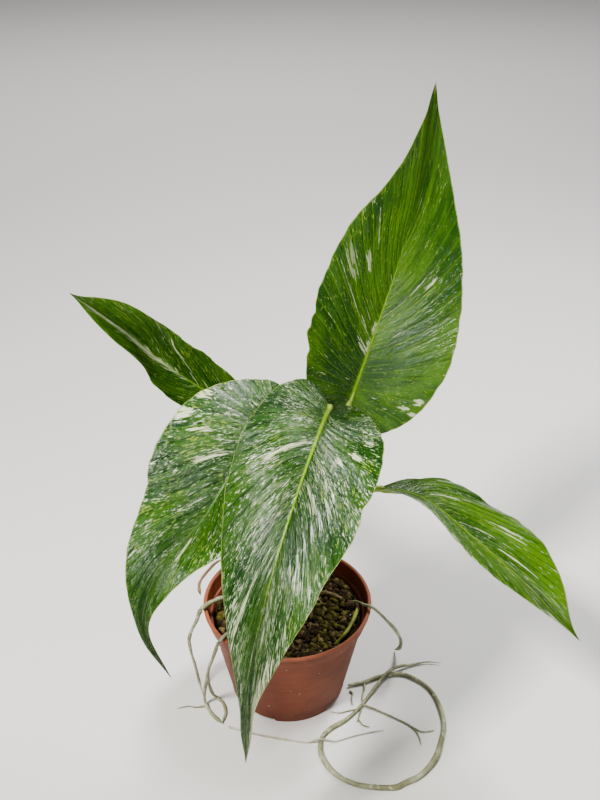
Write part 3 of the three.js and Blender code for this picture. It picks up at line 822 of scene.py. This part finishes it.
def make_root(name, strands, finish):
    """A root and its branches. Radii swell and shrink a little, and each end tapers to a hair."""
    whole = bmesh.new()
    for i, (radii, route) in enumerate(strands):
        length = np.linalg.norm(np.diff(np.array(route, float), axis=0), axis=1).sum()

        def radius_at(share, radii=radii, i=i):
            taper = spline([(radius,) for radius in radii], share)[:, 0]
            swell = 1 + 0.10 * np.sin(share * 23 + i) + 0.06 * np.sin(share * 57 + 2 * i)
            return taper * swell * (1 - 0.65 * np.clip((share - 0.93) / 0.07, 0, 1))

        rings = int(np.clip(length / 1.6, 24, 260))
        join_into(whole, strand(route, radius_at, rings, sides=12, seed=3.1 * i + len(name), wobble=0.16))
    piece(name + "_skin", whole, [finish], [name])


# --- Pot ---

def pot_profile():
    """(radius, height) of the pot's section, from the middle of the base round to the inside floor."""
    r = RIM_RADIUS
    wall_top = WALL_TOP_RADIUS
    collar = POT_HEIGHT - COLLAR_HEIGHT
    foot = BASE_RADIUS + 1.2 * MM
    outside = [
        (0, 0), (BASE_RADIUS - 1.2 * MM, 0), (BASE_RADIUS - 0.3 * MM, 0.25 * MM),
        (BASE_RADIUS, 1 * MM), (BASE_RADIUS + 0.3 * MM, FOOT_HEIGHT - 1.2 * MM),
        (BASE_RADIUS + 0.6 * MM, FOOT_HEIGHT - 0.5 * MM), (foot, FOOT_HEIGHT),
        (foot + 0.2 * MM, FOOT_HEIGHT + 0.8 * MM), (wall_top, collar),
        (wall_top + 0.5 * MM, collar + 0.15 * MM), (wall_top + 1.6 * MM, collar + 0.3 * MM),
        (wall_top + 2 * MM, collar + 0.8 * MM), (r - 1.5 * MM, POT_HEIGHT - 3.1 * MM),
        (r - 0.7 * MM, POT_HEIGHT - 2.7 * MM), (r - 0.15 * MM, POT_HEIGHT - 2 * MM),
        (r, POT_HEIGHT - 1.2 * MM), (r - 0.25 * MM, POT_HEIGHT - 0.45 * MM), (r - 0.9 * MM, POT_HEIGHT),
    ]
    inside = [
        (r - 1.9 * MM, POT_HEIGHT), (r - 2.6 * MM, POT_HEIGHT - 0.5 * MM),
        (r - 2.9 * MM, POT_HEIGHT - 1.4 * MM), (wall_top + 0.9 * MM, collar + 2.2 * MM),
        (wall_top + 0.5 * MM, collar + 1.4 * MM), (wall_top - 1 * MM, collar + 1.0 * MM),
        (wall_top - WALL, collar + 0.5 * MM), (foot - WALL, FOOT_HEIGHT + 1 * MM),
        (BASE_RADIUS - WALL, FOOT_HEIGHT - 2 * MM), (BASE_RADIUS - WALL, WALL), (0, WALL),
    ]
    return outside + inside


def cut_drain_holes(pot):
    """Wide slots under the edge of the base."""
    cutters = bmesh.new()
    for i in range(DRAIN_SLOTS):
        notch = bmesh.new()
        bmesh.ops.create_cube(notch, size=1.0)
        bmesh.ops.scale(notch, vec=DRAIN_SLOT, verts=notch.verts)
        bmesh.ops.bevel(notch, geom=notch.edges, offset=0.8 * MM, affect="EDGES", segments=3, profile=0.5,
                        material=-1)
        bmesh.ops.translate(notch, vec=(BASE_RADIUS, 0, 0), verts=notch.verts)
        turn = math.radians(FIRST_SLOT_ANGLE + 360 / DRAIN_SLOTS * i)
        bmesh.ops.rotate(notch, cent=(0, 0, 0), matrix=rotation_z(turn), verts=notch.verts)
        join_into(cutters, notch)
    mesh = bpy.data.meshes.new("notches")
    cutters.to_mesh(mesh)
    cutters.free()
    tool = bpy.data.objects.new("notches", mesh)
    bpy.context.scene.collection.objects.link(tool)
    cut = pot.modifiers.new("drain_holes", "BOOLEAN")
    cut.operation = "DIFFERENCE"
    cut.object = tool
    cut.solver = "EXACT"
    cut_mesh = bpy.data.meshes.new_from_object(pot.evaluated_get(bpy.context.evaluated_depsgraph_get()))
    pot.modifiers.clear()
    pot.data = cut_mesh
    bpy.data.objects.remove(tool)


def make_pot():
    """The pot, turned from its section."""
    bm = bmesh.new()
    verts = [bm.verts.new((r, 0, z)) for r, z in pot_profile()]
    edges = [bm.edges.new(pair) for pair in zip(verts, verts[1:])]
    bmesh.ops.spin(bm, geom=verts + edges, cent=(0, 0, 0), axis=(0, 0, 1), angle=TURN, steps=144,
                   use_merge=True)
    close_and_face_out(bm, 1e-5)
    pot = piece("nursery_pot", bm, [pot_finish()], ["pot"])
    cut_drain_holes(pot)
    sharpen(pot, 32)


def sharpen(made, degrees):
    """Smooth shading that stays crisp across edges steeper than the angle."""
    bm = bmesh.new()
    bm.from_mesh(made.data)
    limit = math.radians(degrees)
    for edge in bm.edges:
        edge.smooth = len(edge.link_faces) == 2 and edge.calc_face_angle(0.0) < limit
    for face in bm.faces:
        face.smooth = True
    bm.to_mesh(made.data)
    bm.free()


# --- Crown and potting mix ---

def make_crown():
    """A short stem wrapped in the bases of old and new stalks."""
    bm, around, share = closed_grid(72, 60)
    angle = around * TURN
    height = CROWN_BOTTOM + (CROWN_TOP - CROWN_BOTTOM) * share
    swell = np.sin(np.pi * np.clip(share, 0, 1)) ** 0.35
    folds = 1 + 0.12 * np.cos(5 * angle + 6 * share) + 0.05 * np.cos(11 * angle - 9 * share)
    radius = CROWN_RADIUS * (0.98 - 0.18 * share) * swell * folds
    points = np.stack([radius * np.cos(angle), radius * np.sin(angle), height], 1)
    move_verts(bm, points)
    close_and_face_out(bm)
    piece("crown_of_sheaths", bm, [crown_finish()], ["crown"])


def soil_height(x, y):
    """Height of the mix above its level, in metres, for a place in metres."""
    here = Vector((x * 1000, y * 1000, 0))
    broad = noise.noise(here * 0.055) * 1.7
    lumps = noise.noise(here * 0.21 + Vector((7, 3, 1))) * 1.4
    crumbs = abs(noise.noise(here * 0.55)) * 1.1
    away = max(0.0, 1 - math.hypot(x, y) / (14 * MM))
    return (broad + lumps + crumbs + 1.8 * away) * MM


def make_soil_bed():
    """The body of the mix: an uneven disc over a plain block that fills the pot."""
    bm, around, share = closed_grid(180, 84)
    top_share = 0.8
    wall = INSIDE_RADIUS - 0.9 * MM
    angle = around * TURN
    points = []
    for a, s in zip(angle, share):
        if s <= top_share:
            r = wall * s / top_share
            x, y = r * math.cos(a), r * math.sin(a)
            z = SOIL_LEVEL - 1.0 * MM + soil_height(x, y)
            z -= 1.5 * MM * max(0.0, (r / wall - 0.93) / 0.07)
        else:
            down = (s - top_share) / (1 - top_share)
            r = (wall - 8 * MM * down) * (1 if s < 0.999 else 0)
            x, y = r * math.cos(a), r * math.sin(a)
            z = SOIL_LEVEL - 4 * MM - SOIL_BLOCK_DEPTH * down
        points.append((x, y, z))
    move_verts(bm, points)
    close_and_face_out(bm, 1e-5)
    piece("mix_bed", bm, [soil_bed_finish()], ["potting_mix"])


def crumb(radius, seed, roughness, flat=1.0, around=8, bands=5):
    """One irregular crumb round the origin."""
    bm = bmesh.new()
    bmesh.ops.create_uvsphere(bm, u_segments=around, v_segments=bands, radius=radius)
    for vert in bm.verts:
        swell = 1 + roughness * noise.noise(vert.co * (0.9 / radius) + Vector((seed, 0, 0)))
        vert.co *= swell
        vert.co.z *= flat
    return bm


def scatter(name, finish, count, sizes, flat, roughness, seed, spread=None, lift=0.4):
    """Crumbs strewn over the mix. spread says, for a place, how likely a crumb is to lie there."""
    draw = random.Random(seed)
    wall = INSIDE_RADIUS - 1.5 * MM
    whole = bmesh.new()
    shade = whole.verts.layers.float_vector.new("crumb_shade")
    made = 0
    while made < count:
        x, y = draw.uniform(-wall, wall), draw.uniform(-wall, wall)
        size = draw.uniform(*sizes) * MM
        far = math.hypot(x, y)
        if far > wall - size or far < CROWN_RADIUS - 1 * MM:
            continue
        if spread and draw.random() > spread(x, y):
            continue
        part = crumb(size, draw.uniform(0, 900), roughness, flat)
        bmesh.ops.rotate(part, cent=(0, 0, 0), matrix=rotation_z(draw.uniform(0, 6.28)), verts=part.verts)
        z = SOIL_LEVEL - 1.0 * MM + soil_height(x, y) + size * lift
        bmesh.ops.translate(part, vec=(x, y, z), verts=part.verts)
        own = draw.random()
        start = len(whole.verts)
        join_into(whole, part)
        whole.verts.ensure_lookup_table()
        for i in range(start, len(whole.verts)):
            whole.verts[i][shade] = (own, 0, 0)
        made += 1
    piece(name, whole, [finish])


def moss_spread(x, y):
    """How likely moss is to grow at a place, in patches."""
    return max(0.0, min(1.0, 1.25 * noise.noise(Vector((x * 45, y * 45, 4))) + 0.45))


def make_fibres(finish, count):
    """Short loose fibres of peat lying over the crumbs."""
    draw = random.Random(41)
    whole = bmesh.new()
    wall = RIM_RADIUS - 12 * MM
    for i in range(count):
        far = wall * math.sqrt(draw.uniform(0.08, 1))
        turn = draw.uniform(0, TURN)
        x, y = far * math.cos(turn), far * math.sin(turn)
        heading = draw.uniform(0, TURN)
        length = draw.uniform(3, 9)
        route = []
        for k in range(4):
            px = x * 1000 + (k - 1.5) / 3 * length * math.cos(heading) + draw.uniform(-0.8, 0.8)
            py = y * 1000 + (k - 1.5) / 3 * length * math.sin(heading) + draw.uniform(-0.8, 0.8)
            route.append((px, py, SOIL_LEVEL * 1000 + 1.0 + soil_height(px * MM, py * MM) * 1000
                          + draw.uniform(-0.6, 0.9)))
        thick = draw.uniform(0.12, 0.32)
        join_into(whole, strand(route, lambda share, thick=thick: thick, rings=8, sides=5, seed=i))
    piece("peat_fibres", whole, [finish])


def make_twig():
    bm = strand(TWIG_ROUTE, lambda share: 1.45 - 0.2 * share, rings=30, sides=14, seed=5.0, wobble=0.3)
    bark = bark_finish("twig_bark", (0.10, 0.06, 0.03), (0.34, 0.24, 0.14))
    piece("twig", bm, [bark], ["twig_stub"])


def make_knot(finish):
    """The woody knot beside the rim that two roots grow from."""
    knot = crumb(4.2 * MM, 17.0, 0.7, flat=0.75, around=24, bands=14)
    bmesh.ops.translate(knot, vec=Vector(KNOT) * MM, verts=knot.verts)
    piece("root_knot", knot, [finish])


# --- Floor, lights and camera ---

def make_floor():
    bm = bmesh.new()
    bmesh.ops.create_grid(bm, x_segments=1, y_segments=1, size=6.0)
    mesh = bpy.data.meshes.new("floor")
    bm.to_mesh(mesh)
    bm.free()
    floor = bpy.data.objects.new("floor", mesh)
    bpy.context.scene.collection.objects.link(floor)
    f = Finish("pale_floor", roughness=0.8, Specular_IOR_Level=0.2)
    mesh.materials.append(f.done((0.70, 0.69, 0.67)))


def soft_light(name, place, target, size, power, colour=(1, 1, 1)):
    """A rectangular light at a place, turned towards a target."""
    data = bpy.data.lights.new(name, "AREA")
    data.shape = "RECTANGLE"
    data.size, data.size_y = size
    data.energy = power
    data.color = colour
    light = bpy.data.objects.new(name, data)
    light.location = place
    light.rotation_euler = (Vector(target) - Vector(place)).to_track_quat("-Z", "Y").to_euler()
    bpy.context.scene.collection.objects.link(light)


def make_lights():
    soft_light("left_key", (-0.50, -0.55, 1.15), (0, -0.05, 0.2), (0.2, 0.2), 23, (1.0, 0.98, 0.94))
    soft_light("right_back_light", (0.45, 0.50, 1.05), (0, -0.02, 0.22), (0.22, 0.4), 12)
    soft_light("front_fill", (0.5, -1.4, 0.9), (0, 0, 0.15), (0.8, 0.8), 4)
    soft_light("floor_light", (0, 1.7, 1.4), (0, 2.4, 0), (2.5, 1.0), 22)
    world = bpy.data.worlds.new("studio")
    world.use_nodes = True
    background = world.node_tree.nodes["Background"]
    background.inputs["Color"].default_value = (1.0, 1.0, 1.0, 1)
    background.inputs["Strength"].default_value = 0.17
    bpy.context.scene.world = world
    bpy.context.scene.view_settings.look = "AgX - Medium High Contrast"


def make_camera():
    data = bpy.data.cameras.new("camera")
    data.sensor_width = 36
    data.lens = CAMERA_LENS
    camera = bpy.data.objects.new("camera", data)
    camera.location = CAMERA_PLACE
    camera.rotation_euler = (math.radians(90 - CAMERA_TILT), 0, 0)
    bpy.context.scene.collection.objects.link(camera)
    bpy.context.scene.camera = camera


# --- The plant in its pot ---

make_camera()
make_floor()
make_lights()
make_pot()
make_soil_bed()
make_crown()

stalk_skin = stalk_finish()
for number, (leaf_name, leaf_values) in enumerate(LEAVES.items()):
    make_blade(leaf_name, leaf_values, seed=1.7 * number + 0.6)
    make_stalk(leaf_name, leaf_values, stalk_skin)

living_root = root_finish("root_skin", (0.19, 0.19, 0.105), (0.36, 0.37, 0.24), (0.53, 0.54, 0.42))
pale_root = root_finish("pale_root_skin", (0.33, 0.29, 0.21), (0.52, 0.48, 0.39), (0.68, 0.65, 0.56))
green_root = root_finish("green_root_skin", (0.15, 0.18, 0.03), (0.27, 0.31, 0.06), (0.42, 0.44, 0.18))
dry_root = root_finish("dry_root_skin", (0.14, 0.075, 0.04), (0.30, 0.18, 0.10), (0.42, 0.31, 0.20))
ROOT_SKINS = {"pale_table_root": pale_root, "inner_rim_root": green_root, "dry_rim_root": dry_root}
for root_name, root_strands in ROOTS.items():
    skin = ROOT_SKINS.get(root_name, living_root)
    make_root(root_name, root_strands, skin)

peat = crumb_finish("peat_crumb", (0.010, 0.007, 0.004), (0.048, 0.032, 0.015),
                    (0.12, 0.084, 0.040), (0.27, 0.20, 0.105))
moss = crumb_finish("moss_tuft", (0.020, 0.015, 0.004), (0.055, 0.047, 0.012),
                    (0.105, 0.094, 0.020), (0.21, 0.18, 0.060))
grit = crumb_finish("pale_grit", (0.20, 0.17, 0.12), (0.33, 0.29, 0.22),
                    (0.46, 0.42, 0.34), (0.62, 0.58, 0.50))
scatter("peat_crumbs", peat, 1000, sizes=(0.7, 2.5), flat=0.8, roughness=1.1, seed=11)
scatter("moss_tufts", moss, 640, sizes=(0.9, 2.3), flat=0.85, roughness=1.0, seed=12,
        spread=moss_spread, lift=0.7)
scatter("grit_flecks", grit, 45, sizes=(0.4, 0.9), flat=0.8, roughness=0.7, seed=13, lift=1.6)
bark = bark_finish("bark_chip", (0.035, 0.018, 0.009), (0.15, 0.085, 0.045))
make_fibres(bark, 230)
make_twig()
make_knot(bark)
